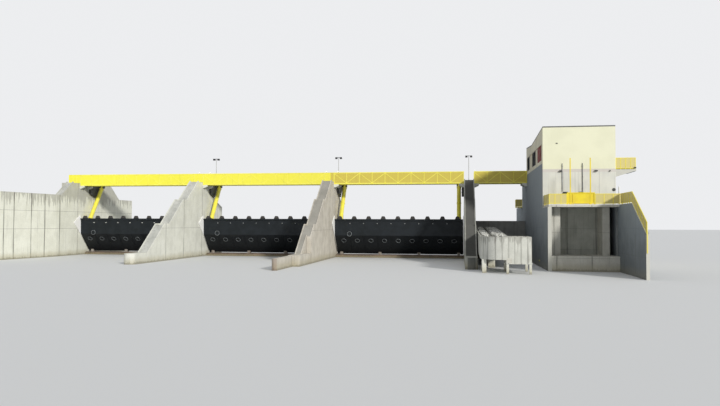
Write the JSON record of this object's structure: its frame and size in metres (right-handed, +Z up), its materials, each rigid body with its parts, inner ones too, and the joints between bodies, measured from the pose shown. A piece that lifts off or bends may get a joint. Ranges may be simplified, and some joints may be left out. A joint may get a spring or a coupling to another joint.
{
  "type": "river weir with flap sluice gates, 1:10 scale model",
  "caption": "Movable river weir with hinged steel flap gates between stepped concrete piers, a lattice service bridge, hydraulic cylinders and a control building.",
  "frame": {"origin": "on the tail-water level, under the middle of the weir's outline seen from above", "axes": "+X across the river towards the bank with the building, +Y upstream, +Z up"},
  "size_m": [8.086, 4.806, 1.606],
  "materials": {
    "concrete": "weathered",
    "dark_concrete": "weathered",
    "sill_concrete": "wet, stained",
    "bearing_paint": "matt",
    "bracket_paint": "matt",
    "gate_paint": "satin",
    "white_paint": "satin",
    "yellow_paint": "satin",
    "rod_chrome": "polished",
    "deck_steel": "matt",
    "light_render": "smooth",
    "roof_sheet": "matt",
    "window_glass": "clear",
    "red_panel": "matt",
    "door_paint": "satin"
  },
  "bodies": {
    "weir": {"left_bank_wall": "concrete", "stair_steps": "concrete", "pier_1": "concrete", "pier_2": "concrete", "pier_3": "concrete", "sills": "sill_concrete", "hinge_bearings": "bearing_paint", "cylinder_brackets": "bracket_paint", "bridge_corbels": "concrete", "bridge_trusses": "yellow_paint", "bridge_decks": "deck_steel", "pier_railings": "yellow_paint", "lamp_posts": "white_paint", "weir_wall": "dark_concrete", "fish_pass_channel": "concrete", "fish_pass_walls": "concrete", "fish_pass_tanks": "concrete", "fish_pass_legs": "concrete", "right_bank_wall": "dark_concrete", "outlet_back_wall": "dark_concrete", "outlet_base": "concrete", "outlet_columns": "concrete", "training_wall": "dark_concrete", "training_handrail": "yellow_paint", "platform_slab": "concrete", "platform_railing": "yellow_paint", "hall_front_wall": "light_render", "hall_left_wall": "light_render", "hall_right_wall": "light_render", "hall_back_wall": "light_render", "hall_floor": "concrete", "hall_roof": "roof_sheet", "window_glass": "window_glass", "light_panels": "light_render", "red_panels": "red_panel", "balcony": "concrete", "balcony_railing": "yellow_paint", "balcony_door": "door_paint", "hoist_frame": "yellow_paint", "side_platform": "yellow_paint"},
    "gate_1": {"gate_1": "gate_paint", "gate_1_sector_plates": "white_paint"},
    "cylinders_1": {"gate_1_barrels": "yellow_paint"},
    "rods_1": {"gate_1_piston_rods": "rod_chrome"},
    "gate_2": {"gate_2": "gate_paint", "gate_2_sector_plates": "white_paint"},
    "cylinders_2": {"gate_2_barrels": "yellow_paint"},
    "rods_2": {"gate_2_piston_rods": "rod_chrome"},
    "gate_3": {"gate_3": "gate_paint", "gate_3_sector_plates": "white_paint"},
    "cylinders_3": {"gate_3_barrels": "yellow_paint"},
    "rods_3": {"gate_3_piston_rods": "rod_chrome"}
  },
  "joints": [
    {"name": "gate_1_hinge", "type": "hinge", "parent": "weir", "child": "gate_1", "pos_m": [-2.809, 0.94, 0.075], "axis": [1, 0, 0], "range_deg": [0, 45]},
    {"name": "cylinders_1_swing", "type": "hinge", "parent": "weir", "child": "cylinders_1", "pos_m": [-2.809, 1.18, 1.08], "axis": [-1, 0, 0], "range_deg": [0, 4.04]},
    {"name": "rods_1_stroke", "type": "slide", "parent": "cylinders_1", "child": "rods_1", "axis": [0, -0.5388, -0.8424], "range_m": [0, 0.31422]},
    {"name": "gate_2_hinge", "type": "hinge", "parent": "weir", "child": "gate_2", "pos_m": [-0.789, 0.94, 0.075], "axis": [1, 0, 0], "range_deg": [0, 45]},
    {"name": "cylinders_2_swing", "type": "hinge", "parent": "weir", "child": "cylinders_2", "pos_m": [-0.789, 1.18, 1.08], "axis": [-1, 0, 0], "range_deg": [0, 4.04]},
    {"name": "rods_2_stroke", "type": "slide", "parent": "cylinders_2", "child": "rods_2", "axis": [0, -0.5388, -0.8424], "range_m": [0, 0.31422]},
    {"name": "gate_3_hinge", "type": "hinge", "parent": "weir", "child": "gate_3", "pos_m": [1.231, 0.94, 0.075], "axis": [1, 0, 0], "range_deg": [0, 45]},
    {"name": "cylinders_3_swing", "type": "hinge", "parent": "weir", "child": "cylinders_3", "pos_m": [1.231, 1.18, 1.08], "axis": [-1, 0, 0], "range_deg": [0, 4.04]},
    {"name": "rods_3_stroke", "type": "slide", "parent": "cylinders_3", "child": "rods_3", "axis": [0, -0.5388, -0.8424], "range_m": [0, 0.31422]}
  ],
  "couplings": [
    {"joint": "cylinders_1_swing", "follows": "gate_1_hinge", "ratio": 0.089779},
    {"joint": "rods_1_stroke", "follows": "gate_1_hinge", "m_per_rad": 0.40007},
    {"joint": "cylinders_2_swing", "follows": "gate_2_hinge", "ratio": 0.089779},
    {"joint": "rods_2_stroke", "follows": "gate_2_hinge", "m_per_rad": 0.40007},
    {"joint": "cylinders_3_swing", "follows": "gate_3_hinge", "ratio": 0.089779},
    {"joint": "rods_3_stroke", "follows": "gate_3_hinge", "m_per_rad": 0.40007}
  ]
}
